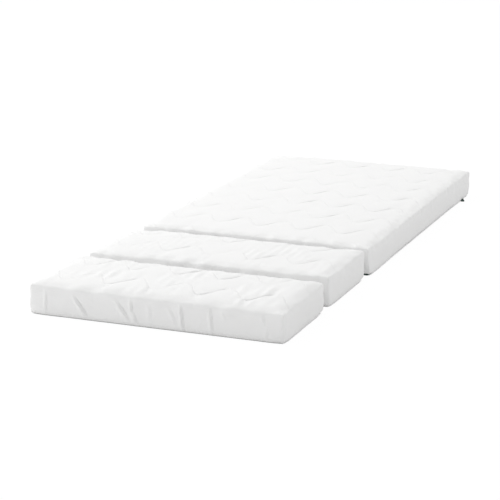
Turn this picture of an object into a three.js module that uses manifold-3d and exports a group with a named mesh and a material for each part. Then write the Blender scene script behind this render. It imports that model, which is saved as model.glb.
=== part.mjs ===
// Foam mattress for an extendable bed: a long main section, a middle section and an end section
// that lie end to end as separate pieces. Each one is a foam core in a zipped cover.
// Millimetres, +Z up. X runs across the bed and Y along it, with the main section at +Y.
// The origin is on the floor, under the middle of the row's length and of the main section's width.
import * as THREE from "three";
import { mergeVertices } from "three/addons/utils/BufferGeometryUtils.js";
import Module from "manifold-3d";

const wasm = await Module();
wasm.setup();

// Sizes of the row
const mattressWidth = 800;
const mainLength = 1300;
const middleLength = 350;
const endLength = 350;
const mainGap = 36; // between the main and the middle section as they lie
const endGap = 48; // between the middle and the end section as they lie
const middleAside = -7; // how far a short section lies to the side of the main one
const endAside = -7;
const thickness = 100; // floor to the crown of the quilted top

// The quilted cover's form
const crownRise = 4; // how much higher the middle of the top is than its edge
const crownPower = 4; // higher keeps the crown flat for longer
const topEdgeRadius = 14;
const topEdgeAngles = [30, 65]; // degrees round the top edge where its facets meet
const cornerRadius = 16; // upright corners, seen from above
const waistHeight = 46; // where the sides stand out furthest
const sideDrawIn = 3; // how far a side pulls in half way between its corners
const footHeight = 12; // the sides tuck under below this height
const footInset = 1;
const hemInset = 2.5;
const patchStep = 10; // first row of facets inside the edge of the top

// Sewn wave rows of the quilting, which run across the bed
const wavePitch = 143;
const waveHeight = 86; // valley to peak, along the bed
const waveValley = -31; // where one valley lies across the bed
const rowSpacing = 170;
const channelDepth = 3;
const channelHalfWidth = 10;
const facetsPerWave = 4;
const mainFirstRow = 127; // front edge of a section to the valleys of its first row
const middleFirstRow = 86;
const endFirstRow = 64;

// Layers of a section, from outside to inside
const clearance = 0.3; // between pieces that touch
const coverWall = 11; // quilted cloth at the sides
const coverRoof = 5; // and at the edge of the top
const waddingWall = 5;
const waddingRoof = 6;
const liningWall = 1;
const baseThickness = 3;
const baseEase = 0.8; // small bevel round the base cloth
const layerEase = 6; // bevel round the top of the foam and the layers over it
const cornerFacets = 4;
const cutOverrun = 2; // how far a cut runs past what it cuts

// Zip: chain, tapes, stops, slider and pull
const chainDepth = 2;
const chainHeight = 4.4;
const chainBevel = 0.6;
const tapeThickness = 0.9;
const upperTapeHeight = 13;
const tapeEndLength = 12; // tape past each end of the chain
const stopLength = 3;
const stopOverlap = 0.3; // how much taller a stop is than the chain, above and below
const sliderLength = 13;
const plateThickness = 1.6;
const lipThickness = 0.9;
const archLength = 9; // bridge that holds the pull
const archWidth = 2.6;
const archBar = 1;
const archPost = 1.5;
const pullPinRadius = 0.6;
const pullHeadRadius = 1;
const pullHeadHeight = 1.1;
const pullPinFacets = 8;
const pullLength = 42; // from its pin to its tip
const pullTipWidth = 14;
const pullLean = 10; // degrees that a pull stays clear of the line of its chain
const pullThickness = 1.6;
const pullFloorGap = 0.4; // the pull lies this far above the floor
const sliderPark = 4; // between the parked slider and the top stop

// Where each zip runs. It ends short of the far corners, and wraps the right corner of the short sections.
const zipSideReserve = 40; // to the left corner, along the front or the rear
const mainZipRearReserve = 72; // to the main section's rear corner, along the right side
const middleZipWrap = 30; // along the right side
const endZipWrap = 45;
const flapFrom = 18; // past the corner, from where a flap of the cover hides the main section's zip
const mainPullAngle = 162; // degrees from the rear end of the zip that the main pull points as it lies

// Heights and insets that the sizes above give
const edgeHeight = thickness - crownRise;
const hemHeight = baseThickness + clearance;
const roofHeight = edgeHeight - coverRoof;
const layerCornerRadius = cornerRadius - coverWall; // so that the layers' corners share the cover's centre
const waddingInset = coverWall + clearance;
const waddingTop = roofHeight - clearance;
const liningInset = waddingInset + waddingWall + clearance;
const liningTop = waddingTop - waddingRoof - clearance;
const coreInset = liningInset + liningWall + clearance;
const coreTop = liningTop - liningWall - clearance;
const coverLow = pullFloorGap + pullThickness + clearance; // the pull swings under the cover's hem
const chainInset = coverWall - chainDepth;
const sliderLow = baseThickness + clearance;
const chainLow = sliderLow + lipThickness + clearance;
const chainHigh = chainLow + chainHeight;
const chainMiddle = (chainLow + chainHigh) / 2;
const sliderHigh = chainHigh + clearance + lipThickness;
const slotTop = sliderHigh + clearance;
const tapeInset = coverWall + clearance;
const plateInset = chainInset - clearance - plateThickness;
const pinInset = plateInset - clearance - pullHeadRadius;
const archInset = pinInset - pullPinRadius - clearance - archBar;
const flapBack = archInset - clearance;
const pullWidth = 2 * (coverWall - clearance - pinInset); // it turns clear of the base cloth
const mainZipBefore = mattressWidth - zipSideReserve;
const mainZipAfter = mainLength - mainZipRearReserve;
const shortZipAfter = mattressWidth - zipSideReserve;

// Materials
const quiltedCloth = new THREE.MeshStandardMaterial({ color: 0xf3f3f2, roughness: 0.92, metalness: 0 });
const waddingFibre = new THREE.MeshStandardMaterial({ color: 0xfbfbf8, roughness: 1, metalness: 0 });
const liningCloth = new THREE.MeshStandardMaterial({ color: 0xe6e7e4, roughness: 0.95, metalness: 0 });
const paleFoam = new THREE.MeshStandardMaterial({ color: 0xf0ead2, roughness: 1, metalness: 0 });
const baseCloth = new THREE.MeshStandardMaterial({ color: 0xe9e9e7, roughness: 0.95, metalness: 0 });
const zipTape = new THREE.MeshStandardMaterial({ color: 0x2e5246, roughness: 0.85, metalness: 0 });
const zipChain = new THREE.MeshStandardMaterial({ color: 0x22443a, roughness: 0.5, metalness: 0 });
const zipMetal = new THREE.MeshStandardMaterial({ color: 0x1d3a30, roughness: 0.45, metalness: 0.3 });

const radians = (degrees) => THREE.MathUtils.degToRad(degrees);

// Solids that manifold-3d joins and cuts
function solidOf(geometry) {
  const bare = geometry.clone();
  bare.deleteAttribute("normal");
  bare.deleteAttribute("uv");
  const merged = mergeVertices(bare);
  return new wasm.Manifold(
    new wasm.Mesh({
      numProp: 3,
      vertProperties: merged.attributes.position.array,
      triVerts: new Uint32Array(merged.index.array),
    }),
  );
}

function geometryOf(solid) {
  const mesh = solid.getMesh();
  const geometry = new THREE.BufferGeometry();
  geometry.setAttribute("position", new THREE.BufferAttribute(mesh.vertProperties, 3));
  geometry.setIndex(new THREE.BufferAttribute(mesh.triVerts, 1));
  return shaded(geometry);
}

function shaded(geometry) {
  const loose = geometry.index ? geometry.toNonIndexed() : geometry;
  loose.computeVertexNormals();
  return loose;
}

function meshOf(name, geometry, material) {
  const mesh = new THREE.Mesh(geometry, material);
  mesh.name = name;
  return mesh;
}

// A closed surface from a list of points and a list of triangles
function surface(points, triangles) {
  const geometry = new THREE.BufferGeometry().setFromPoints(points);
  geometry.setIndex(triangles);
  return geometry;
}

// Outline of a rounded rectangle about the origin, seen from above
function roundedOutline(halfX, halfY, radius) {
  const outline = new THREE.Shape();
  const x = halfX - radius;
  const y = halfY - radius;
  outline.absarc(x, -y, radius, -Math.PI / 2, 0, false);
  outline.absarc(x, y, radius, 0, Math.PI / 2, false);
  outline.absarc(-x, y, radius, Math.PI / 2, Math.PI, false);
  outline.absarc(-x, -y, radius, Math.PI, 1.5 * Math.PI, false);
  return outline.getPoints(cornerFacets).slice(0, -1);
}

// A slab between two heights, with a bevel round its bottom and its top
function slab(halfX, halfY, low, high, bottomEase, topEase) {
  const levels = [
    [low, bottomEase],
    [low + bottomEase, 0],
    [high - topEase, 0],
    [high, topEase],
  ].filter(([height], place, all) => place === 0 || height > all[place - 1][0]);
  const rings = levels.map(([height, inset]) =>
    roundedOutline(halfX - inset, halfY - inset, layerCornerRadius).map(
      (point) => new THREE.Vector3(point.x, point.y, height),
    ),
  );
  const count = rings[0].length;
  const points = [new THREE.Vector3(0, 0, low), ...rings.flat(), new THREE.Vector3(0, 0, high)];
  const triangles = [];
  for (let side = 0; side < count; side++) {
    const next = (side + 1) % count;
    triangles.push(0, 1 + next, 1 + side);
    for (let ring = 0; ring < rings.length - 1; ring++) {
      const below = 1 + ring * count;
      const above = below + count;
      triangles.push(below + side, below + next, above + next);
      triangles.push(below + side, above + next, above + side);
    }
    const top = 1 + (rings.length - 1) * count;
    triangles.push(points.length - 1, top + side, top + next);
  }
  return surface(points, triangles);
}

// How far along a sewn wave is at x, from 0 in a valley to 1 on a peak
const waveShareAt = (x) => (1 - Math.cos((2 * Math.PI * (x - waveValley)) / wavePitch)) / 2;

// Facet lines of the quilted top across the bed
function quiltColumns(halfX) {
  const step = wavePitch / facetsPerWave;
  const inner = halfX - patchStep;
  const columns = [-halfX, -inner];
  const first = Math.ceil((-inner - waveValley) / step);
  for (let place = first; waveValley + place * step < inner; place++) {
    const x = waveValley + place * step;
    if (x - columns.at(-1) > patchStep / 2 && inner - x > patchStep / 2) columns.push(x);
  }
  columns.push(inner, halfX);
  return columns;
}

// Facet lines of the quilted top along the bed: each sewn row is a shoulder, a channel and a shoulder
function quiltLines(length, halfY, firstRow) {
  const lines = [
    { y: -halfY, rise: 0, depth: 0 },
    { y: patchStep - halfY, rise: 0, depth: 0 },
  ];
  const last = halfY - patchStep;
  for (let y = firstRow - length / 2; y < last; y += rowSpacing) {
    const room = last - patchStep / 2 - channelHalfWidth - y;
    const rise = Math.min(waveHeight, room);
    if (rise < waveHeight / 2) break;
    lines.push({ y: y - channelHalfWidth, rise, depth: 0 });
    lines.push({ y, rise, depth: channelDepth });
    lines.push({ y: y + channelHalfWidth, rise, depth: 0 });
  }
  lines.push({ y: last, rise: 0, depth: 0 }, { y: halfY, rise: 0, depth: 0 });
  return lines;
}

// Levels of the cover's sides, from the top edge down to the hem
function sideLevels() {
  const round = topEdgeAngles.map((angle, place) => ({
    height: edgeHeight - topEdgeRadius * (1 - Math.cos(radians(angle))),
    inset: topEdgeRadius * (1 - Math.sin(radians(angle))),
    drawShare: (place + 1) / (topEdgeAngles.length + 1),
  }));
  return [
    ...round,
    { height: waistHeight, inset: 0, drawShare: 1 },
    { height: footHeight, inset: footInset, drawShare: 0 },
    { height: coverLow, inset: hemInset, drawShare: 0 },
  ];
}

// The outside of a quilted cover: crowned top with its sewn rows, rounded edges and drawn-in sides
function coverForm(length, firstRow) {
  const halfX = mattressWidth / 2;
  const halfY = length / 2;
  const patchX = halfX - topEdgeRadius;
  const patchY = halfY - topEdgeRadius;
  const columns = quiltColumns(patchX);
  const lines = quiltLines(length, patchY, firstRow);
  const points = [];
  for (const line of lines) {
    for (const x of columns) {
      const y = line.y + line.rise * waveShareAt(x);
      const crownX = 1 - Math.abs(x / patchX) ** crownPower;
      const crownY = 1 - Math.abs(y / patchY) ** crownPower;
      const onEdge = Math.abs(x) === patchX;
      const sewn = onEdge ? 0 : line.depth;
      points.push(new THREE.Vector3(x, y, edgeHeight + crownRise * crownX * crownY - sewn));
    }
  }
  const across = columns.length;
  const triangles = [];
  for (let row = 0; row < lines.length - 1; row++) {
    for (let column = 0; column < across - 1; column++) {
      const corner = row * across + column;
      triangles.push(corner, corner + 1, corner + across + 1);
      triangles.push(corner, corner + across + 1, corner + across);
    }
  }

  // The edge of the top, counter-clockwise from its front left corner
  const edge = [];
  const lastColumn = across - 1;
  const lastRow = lines.length - 1;
  const addSide = (count, pick, normalX, normalY) => {
    for (let place = 0; place < count; place++) {
      edge.push({ index: pick(place), normalX, normalY, place, count });
    }
  };
  addSide(lastColumn, (place) => place, 0, -1);
  addSide(lastRow, (place) => place * across + lastColumn, 1, 0);
  addSide(lastColumn, (place) => lastRow * across + lastColumn - place, 0, 1);
  addSide(lastRow, (place) => (lastRow - place) * across, -1, 0);

  const sidePoint = (spot, level) => {
    const top = points[spot.index];
    const reach = cornerRadius - level.inset;
    const centreX = Math.sign(top.x) * (halfX - cornerRadius);
    const centreY = Math.sign(top.y) * (halfY - cornerRadius);
    if (spot.place === 0) {
      const slant = reach * Math.SQRT1_2;
      const x = centreX + Math.sign(top.x) * slant;
      const y = centreY + Math.sign(top.y) * slant;
      return new THREE.Vector3(x, y, level.height);
    }
    const beside = spot.place === 1 || spot.place === spot.count - 1;
    const half = spot.normalX ? halfY : halfX;
    const along = spot.normalX ? (beside ? centreY : top.y) : beside ? centreX : top.x;
    const pulled = sideDrawIn * level.drawShare * Math.cos((Math.PI / 2) * (along / half));
    const out = level.inset + pulled;
    return spot.normalX
      ? new THREE.Vector3(spot.normalX * (halfX - out), along, level.height)
      : new THREE.Vector3(along, spot.normalY * (halfY - out), level.height);
  };

  let above = edge.map((spot) => spot.index);
  for (const level of sideLevels()) {
    const below = edge.map((spot) => points.push(sidePoint(spot, level)) - 1);
    edge.forEach((spot, side) => {
      const next = (side + 1) % edge.length;
      triangles.push(below[side], below[next], above[next]);
      triangles.push(below[side], above[next], above[side]);
    });
    above = below;
  }
  const centre = points.push(new THREE.Vector3(0, 0, coverLow)) - 1;
  above.forEach((index, side) => {
    triangles.push(centre, above[(side + 1) % above.length], index);
  });
  return surface(points, triangles);
}

// A zip is drawn round a corner at the origin: it comes in along +X, turns, and leaves along +Y.
// The inside of the mattress is to its left. This is the plan of one of its bands.
function bandOutline(outerInset, innerInset, before, after) {
  const curveAt = (inset) => {
    const curve = new THREE.Path();
    curve.moveTo(-before, inset);
    curve.lineTo(-cornerRadius, inset);
    curve.absarc(-cornerRadius, cornerRadius, cornerRadius - inset, -Math.PI / 2, 0, false);
    curve.lineTo(-inset, after);
    return curve.getPoints(cornerFacets);
  };
  return new THREE.Shape([...curveAt(outerInset), ...curveAt(innerInset).reverse()]);
}

function band(outerInset, innerInset, low, high, before, after) {
  const outline = bandOutline(outerInset, innerInset, before, after);
  const geometry = new THREE.ExtrudeGeometry(outline, { depth: high - low, bevelEnabled: false });
  return geometry.translate(0, 0, low);
}

// A box between two places along each axis
function boxBetween(fromX, toX, fromY, toY, low, high) {
  const geometry = new THREE.BoxGeometry(toX - fromX, toY - fromY, high - low);
  return geometry.translate((fromX + toX) / 2, (fromY + toY) / 2, (low + high) / 2);
}

// A block between two insets, two heights and two places along the zip's second leg
function block(outerInset, innerInset, low, high, from, to) {
  return boxBetween(-innerInset, -outerInset, from, to, low, high);
}

// The chain, closed: its two rows of teeth are one strip with bevelled edges
function chainGeometry(before, after) {
  const length = [before - tapeEndLength, after - tapeEndLength];
  const middle = band(chainInset, coverWall, chainLow + chainBevel, chainHigh - chainBevel, ...length);
  const ridge = band(chainInset + chainBevel, coverWall, chainLow, chainHigh, ...length);
  return geometryOf(solidOf(middle).add(solidOf(ridge)));
}

// Slider: a plate in front of the chain with a lip over and under it, and a bridge for the pull
function sliderGeometry(centre) {
  const from = centre - sliderLength / 2;
  const to = centre + sliderLength / 2;
  const backInset = coverWall - clearance;
  const plate = block(plateInset, plateInset + plateThickness, sliderLow, sliderHigh, from, to);
  const lowLip = block(plateInset, backInset, sliderLow, sliderLow + lipThickness, from, to);
  const highLip = block(plateInset, backInset, sliderHigh - lipThickness, sliderHigh, from, to);
  const archLow = chainMiddle - archWidth / 2;
  const archHigh = chainMiddle + archWidth / 2;
  const archFrom = centre - archLength / 2;
  const archTo = centre + archLength / 2;
  const root = plateInset + plateThickness / 2;
  const bar = block(archInset, archInset + archBar, archLow, archHigh, archFrom, archTo);
  const nearPost = block(archInset, root, archLow, archHigh, archFrom, archFrom + archPost);
  const farPost = block(archInset, root, archLow, archHigh, archTo - archPost, archTo);
  const pieces = [plate, lowLip, highLip, bar, nearPost, farPost].map(solidOf);
  return geometryOf(pieces.reduce((whole, piece) => whole.add(piece)));
}

// Pull: a pin inside the slider's bridge with a head over it, and a flat tab at its foot.
// It is drawn lying along +Y from its pin, which stands at the origin.
function pullGeometry() {
  const half = pullWidth / 2;
  const tipHalf = pullTipWidth / 2;
  const reach = pullLength - tipHalf;
  const tab = new THREE.Shape();
  tab.moveTo(half, 0);
  tab.lineTo(tipHalf, reach);
  tab.absarc(0, reach, tipHalf, 0, Math.PI, false);
  tab.lineTo(-half, 0);
  tab.absarc(0, 0, half, Math.PI, 2 * Math.PI, false);
  const settings = { depth: pullThickness, bevelEnabled: false, curveSegments: 2 * cornerFacets };
  const plate = new THREE.ExtrudeGeometry(tab, settings).translate(0, 0, pullFloorGap);
  const upright = (radius, low, high) => {
    const post = new THREE.CylinderGeometry(radius, radius, high - low, pullPinFacets);
    return post.rotateX(Math.PI / 2).translate(0, 0, (low + high) / 2);
  };
  const headLow = chainMiddle + archWidth / 2 + clearance;
  const pin = upright(pullPinRadius, pullFloorGap, headLow + pullHeadHeight / 2);
  const head = upright(pullHeadRadius, headLow, headLow + pullHeadHeight);
  const pieces = [plate, pin, head].map(solidOf);
  return geometryOf(pieces.reduce((whole, piece) => whole.add(piece)));
}

// Zip of one section, in a group that stands on the corner that the zip goes round
function zipOf(name, before, after, pullAngle) {
  const zip = new THREE.Group();
  const add = (part, geometry, material) => {
    const mesh = meshOf(name + "_zip_" + part, geometry, material);
    zip.add(mesh);
    return mesh;
  };
  const tapeBack = tapeInset + tapeThickness;
  const upperLow = chainMiddle + clearance;
  const lowerHigh = chainMiddle - clearance;
  const upper = band(tapeInset, tapeBack, upperLow, upperLow + upperTapeHeight, before, after);
  const lower = band(tapeInset, tapeBack, baseThickness + clearance, lowerHigh, before, after);
  add("upper_tape", shaded(upper), zipTape);
  add("lower_tape", shaded(lower), zipTape);
  add("teeth", chainGeometry(before, after), zipChain);

  const stopLow = chainLow - stopOverlap;
  const stopHigh = chainHigh + stopOverlap;
  const topFrom = after - tapeEndLength + clearance;
  const top = block(chainInset, coverWall, stopLow, stopHigh, topFrom, topFrom + stopLength);
  add("top_stop", shaded(top), zipMetal);
  const bottomTo = tapeEndLength - clearance - before;
  const bottomFrom = bottomTo - stopLength;
  const bottom = boxBetween(bottomFrom, bottomTo, chainInset, coverWall, stopLow, stopHigh);
  add("bottom_stop", shaded(bottom), zipMetal);

  const centre = topFrom - sliderPark - sliderLength / 2;
  add("slider", sliderGeometry(centre), zipMetal);
  const pull = add("pull", pullGeometry(), zipMetal);
  pull.position.set(-pinInset, centre, 0);
  pull.rotation.z = -radians(pullAngle);
  return zip;
}

// The zip's room in a layer, between two insets, up to a height
function zipRoom(place, outerInset, innerInset, high, before, after) {
  const room = band(outerInset, innerInset, coverLow - cutOverrun, high, before, after);
  return solidOf(room.applyMatrix4(place));
}

// A slot through the foot of the cover. Past its open stretch a flap is left in front of it.
function zipSlot(place, zip) {
  const before = zip.before + clearance;
  const after = zip.after + clearance;
  const open = zipRoom(place, -cutOverrun, tapeInset, slotTop, before, Math.min(zip.openAfter, after));
  return open.add(zipRoom(place, flapBack, tapeInset, slotTop, before, after));
}

function section(name, length, aside, centreY, firstRow, zip) {
  const group = new THREE.Group();
  group.position.set(aside, centreY, 0);
  const halfX = mattressWidth / 2;
  const halfY = length / 2;
  const layer = (inset, low, high) => slab(halfX - inset, halfY - inset, low, high, 0, layerEase);
  const add = (part, geometry, material) => group.add(meshOf(name + "_" + part, geometry, material));

  const corner = new THREE.Group();
  corner.position.set(halfX, zip.cornerSide * halfY, 0);
  corner.rotation.z = radians(zip.turn);
  corner.updateMatrix();
  const place = corner.matrix;

  const under = coverLow - cutOverrun;
  const hollow = solidOf(layer(coverWall, under, roofHeight));
  const cover = solidOf(coverForm(length, firstRow)).subtract(hollow).subtract(zipSlot(place, zip));
  add("quilted_cover", geometryOf(cover), quiltedCloth);

  const tapeRoom = tapeInset + tapeThickness + clearance;
  const tapeTop = chainMiddle + clearance + upperTapeHeight + clearance;
  const pocket = zipRoom(place, 0, tapeRoom, tapeTop, zip.before + clearance, zip.after + clearance);
  const waddingInner = solidOf(layer(waddingInset + waddingWall, under, waddingTop - waddingRoof));
  const wadding = solidOf(layer(waddingInset, hemHeight, waddingTop)).subtract(waddingInner);
  add("wadding", geometryOf(wadding.subtract(pocket)), waddingFibre);

  const liningInner = solidOf(layer(liningInset + liningWall, under, liningTop - liningWall));
  const lining = solidOf(layer(liningInset, hemHeight, liningTop)).subtract(liningInner);
  add("lining", geometryOf(lining), liningCloth);
  add("foam_core", shaded(layer(coreInset, hemHeight, coreTop)), paleFoam);
  const base = slab(halfX - coverWall, halfY - coverWall, 0, baseThickness, baseEase, 0);
  add("base_cloth", shaded(base), baseCloth);

  corner.add(zipOf(name, zip.before, zip.after, zip.pullAngle));
  group.add(corner);
  return group;
}

// The row: main section at the rear, end section at the front
const rowLength = mainLength + mainGap + middleLength + endGap + endLength;
const mainCentre = (rowLength - mainLength) / 2;
const middleCentre = mainCentre - mainLength / 2 - mainGap - middleLength / 2;
const endCentre = middleCentre - middleLength / 2 - endGap - endLength / 2;
const frontTurn = { cornerSide: -1, turn: 0 }; // along the front, then the right side
const rearTurn = { cornerSide: 1, turn: 90 }; // along the right side, then the rear

const mainZip = {
  ...frontTurn,
  before: mainZipBefore,
  after: mainZipAfter,
  openAfter: flapFrom,
  pullAngle: mainPullAngle,
};
const shortZip = { ...rearTurn, after: shortZipAfter, openAfter: mattressWidth, pullAngle: pullLean };
const middleZip = { ...shortZip, before: middleZipWrap };
const endZip = { ...shortZip, before: endZipWrap };

const mattress = new THREE.Group();
mattress.add(section("main", mainLength, 0, mainCentre, mainFirstRow, mainZip));
mattress.add(section("middle", middleLength, middleAside, middleCentre, middleFirstRow, middleZip));
mattress.add(section("end", endLength, endAside, endCentre, endFirstRow, endZip));

export default mattress;
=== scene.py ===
import math

import bpy
import numpy as np
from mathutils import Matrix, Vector


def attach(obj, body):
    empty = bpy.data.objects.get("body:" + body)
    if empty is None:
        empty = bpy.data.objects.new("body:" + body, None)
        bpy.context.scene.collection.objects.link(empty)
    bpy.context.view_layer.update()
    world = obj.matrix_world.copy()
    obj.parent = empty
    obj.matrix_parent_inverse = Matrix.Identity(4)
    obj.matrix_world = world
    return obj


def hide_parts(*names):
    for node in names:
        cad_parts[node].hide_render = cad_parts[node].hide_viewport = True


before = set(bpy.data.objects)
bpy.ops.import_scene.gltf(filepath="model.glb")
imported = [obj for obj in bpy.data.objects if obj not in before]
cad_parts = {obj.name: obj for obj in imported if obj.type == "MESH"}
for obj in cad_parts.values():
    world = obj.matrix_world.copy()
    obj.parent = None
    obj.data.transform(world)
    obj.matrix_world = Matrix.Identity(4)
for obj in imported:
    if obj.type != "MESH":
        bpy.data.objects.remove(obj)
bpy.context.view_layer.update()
mm = 0.001

# Foam mattress for an extendable bed, in three sections that lie end to end.
# X runs across the bed, Y along it with the main section at the far end, Z is up.
bed = {
    "width": 800,
    "edgeHeight": 96,
    "crownRise": 4,
    "crownPower": 4,
    "edgeDepth": 1.1,  # how much further the round of the top edge reaches down than in
    "pointRadius": 3.5,  # of the top edge at the corners, where the seams pull the cloth tight
    "innerRadius": 16,  # upright corners of what lies inside the cover
    "hemHeight": 2.3,
    "cornerLip": 7.2,  # how high the cover's lip lies over a zip at a rear corner, past the slider's reach
    "cornerLipReach": (26, 46),
    "sideDrawIn": 3,
    "cornerReach": 90,  # how far the nudges of the upper corners reach
    "rearTuckReach": (60, 40),  # how far the tuck at a rear right corner reaches, across and along the bed
}
# Each section, in mm apart from what is named as a share:
# front is where it starts along Y, aside how far it lies off the bed's middle, and firstRow how far behind
# its front the first sewn row has its valleys. columnsPerWave and rowStep say how fine its cover's grid is,
# and seed starts its random draws.
# zipRear says that the zip runs along the rear instead of the front. wrap is how far its slot shows round the
# right corner, flap how far along the right side the cover hides it, and lipHeight how high the cover's lip
# lies over it. rearTuck is how far the rear is drawn in at the foot of the right corner.
# edges and feet are how round the top and bottom edges are at the front, rear, left and right, between the
# corners, and rolls how deep and from how far in the top rolls off towards them.
# corners are how far the upper corners lie to the right and up: front left and right, then rear left and right.
# relief, bite and crumple are shares of the puffs' height, of the rows' depth and of the crumples.
sections = {
    "main": {
        "front": -258, "length": 1300, "aside": 0, "firstRow": 127,
        "columnsPerWave": 16, "rowStep": 9.2, "seed": 11,
        "zipRear": False, "wrap": 18, "flap": 1228, "lipHeight": 7.4, "rearTuck": 0,
        "edges": (12, 14, 14, 12), "feet": (6, 8, 12, 16), "rolls": ((1, 40), (3, 70), (3, 70), (3, 110)),
        "corners": ((8, -4), (-8, -3), (0, -6), (-3, -2)), "relief": 0.55, "bite": 0.95, "crumple": 0.16,
    },
    "middle": {
        "front": -644, "length": 350, "aside": -7, "firstRow": 86,
        "columnsPerWave": 20, "rowStep": 7.4, "seed": 23,
        "zipRear": True, "wrap": 30, "flap": 0, "lipHeight": 10.4, "rearTuck": 2,
        "edges": (12, 14, 14, 13), "feet": (6, 8, 12, 12), "rolls": ((1.5, 40), (2, 60), (3, 60), (4, 50)),
        "corners": ((4, -4), (-5, 2), (0, -9), (-2, 1)), "relief": 0.7, "bite": 0.9, "crumple": 0.7,
    },
    "end": {
        "front": -1042, "length": 350, "aside": -7, "firstRow": 64,
        "columnsPerWave": 20, "rowStep": 7.4, "seed": 37,
        "zipRear": True, "wrap": 45, "flap": 0, "lipHeight": 10.4, "rearTuck": 5.5,
        "edges": (14, 14, 14, 14), "feet": (8, 8, 12, 10), "rolls": ((6, 85), (2, 60), (3, 60), (7, 62)),
        "corners": ((4, 0), (-3, -2), (0, 0), (-4, 0)), "relief": 0.75, "bite": 1.0, "crumple": 1.1,
    },
}
zipAcross = 760  # how much of the front or the rear a zip takes, from the right corner
slotFade = (-4, 6)  # between which the slot over a zip closes, from the zip's end
# added to a section's seed, for each kind of random draw
draws = {"small": 0, "broad": 1, "overEdge": 2, "bite": 5, "crumple": 8, "patch": 9, "base": 14}


def unselect():
    if bpy.context.object and bpy.context.object.mode != "OBJECT":
        bpy.ops.object.mode_set(mode="OBJECT")
    bpy.ops.object.select_all(action="DESELECT")


def pick(piece):
    unselect()
    piece.select_set(True)
    bpy.context.view_layer.objects.active = piece


def applyAll(piece):
    pick(piece)
    for modifier in list(piece.modifiers):
        bpy.ops.object.modifier_apply(modifier=modifier.name)


def pointsOf(mesh):
    flat = np.empty(len(mesh.vertices) * 3)
    mesh.vertices.foreach_get("co", flat)
    return flat.reshape(-1, 3)


def setPoints(mesh, points):
    mesh.vertices.foreach_set("co", np.ascontiguousarray(points, dtype=np.float32).ravel())
    mesh.update()


def normalsOf(mesh):
    flat = np.empty(len(mesh.vertices) * 3)
    mesh.vertex_normals.foreach_get("vector", flat)
    return flat.reshape(-1, 3)


def smoothStep(low, high, value):
    share = np.clip((value - low) / (high - low), 0, 1)
    return share * share * (3 - 2 * share)


def unit(vectors):
    return vectors / np.maximum(np.linalg.norm(vectors, axis=1, keepdims=True), 1e-9)


def markPoints(piece, title, chosen):
    group = piece.vertex_groups.new(name=title)
    group.add([int(number) for number in np.nonzero(chosen)[0]], 1.0, "REPLACE")


def removeMaps(mesh):
    for layer in list(mesh.uv_layers):
        mesh.uv_layers.remove(layer)


# In edit mode: selects the open rim and nothing else
def selectRim():
    bpy.ops.mesh.select_mode(type="EDGE")
    bpy.ops.mesh.select_all(action="DESELECT")
    bpy.ops.mesh.select_non_manifold(extend=False, use_wire=False, use_boundary=True, use_multi_face=False,
                                     use_non_contiguous=False, use_verts=False)


# Camera

view = {
    "place": (1.9687, -5.4862, 1.4916),
    "forward": (-0.34276, 0.90547, -0.25026),
    "right": (0.93432, 0.35631, 0.00953),
    "lens": 127.43,
}


def makeCamera():
    data = bpy.data.cameras.new("camera")
    data.lens = view["lens"]
    data.sensor_width = 36
    data.clip_start, data.clip_end = 0.1, 100
    camera = bpy.data.objects.new("camera", data)
    bpy.context.scene.collection.objects.link(camera)
    forward = Vector(view["forward"]).normalized()
    right = Vector(view["right"])
    right = (right - forward * right.dot(forward)).normalized()
    up = right.cross(forward)
    turned = camera.matrix_world.copy()
    for row in range(3):
        turned[row][0], turned[row][1], turned[row][2] = right[row], up[row], -forward[row]
        turned[row][3] = view["place"][row]
    camera.matrix_world = turned
    bpy.context.scene.camera = camera


makeCamera()
print("camera ready")

# Studio: a white floor, a soft sky and one large lamp

studio = {
    "sky": 0.765,
    "skyLeft": 0.01,  # how much brighter the sky is on the left
    "skyRear": 0.155,  # and behind the mattress
    "lampPower": 162,
    "lampPlace": (-4.6, 2.3, 5.2),
    "lampSize": 3.0,
    "fillPower": 27,
    "fillPlace": (-3.4, -2.6, 1.5),
    "fillSize": 1.4,
    "aim": (0, -0.1, 0),
    "floorSize": 60,
    "floorGrey": 0.9,
    "floorShare": 0.06,  # how much of the floor's own shading the camera sees
    "hemShadowReach": 0.02,
    "hemShadow": (0.08, 0.42, 0.25, 1.02),  # from how closed in to how open, and how the floor glows there
}


def addNode(tree, kind, **settings):
    made = tree.nodes.new(kind)
    for name, value in settings.items():
        setattr(made, name, value)
    return made


def feed(tree, socket, value):
    if isinstance(value, bpy.types.NodeSocket):
        tree.links.new(value, socket)
    elif value is not None:
        socket.default_value = value


def maths(tree, operation, first, second=None, third=None):
    made = addNode(tree, "ShaderNodeMath", operation=operation)
    for socket, value in zip(made.inputs, (first, second, third)):
        feed(tree, socket, value)
    return made.outputs[0]


def mixColour(tree, share, first, second):
    made = addNode(tree, "ShaderNodeMix", data_type="RGBA")
    feed(tree, made.inputs[0], share)
    feed(tree, made.inputs[6], first)
    feed(tree, made.inputs[7], second)
    return made.outputs[2]


def ramp(tree, value, low, high, start=0.0, end=1.0):
    made = addNode(tree, "ShaderNodeMapRange", interpolation_type="SMOOTHSTEP")
    feed(tree, made.inputs[0], value)
    for socket, number in zip(made.inputs[1:5], (low, high, start, end)):
        feed(tree, socket, number)
    return made.outputs[0]


def noiseAt(tree, place, scale, detail=2.0, roughness=0.5):
    made = addNode(tree, "ShaderNodeTexNoise")
    feed(tree, made.inputs["Vector"], place)
    made.inputs["Scale"].default_value = scale
    made.inputs["Detail"].default_value = detail
    made.inputs["Roughness"].default_value = roughness
    return made.outputs["Fac"]


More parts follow.
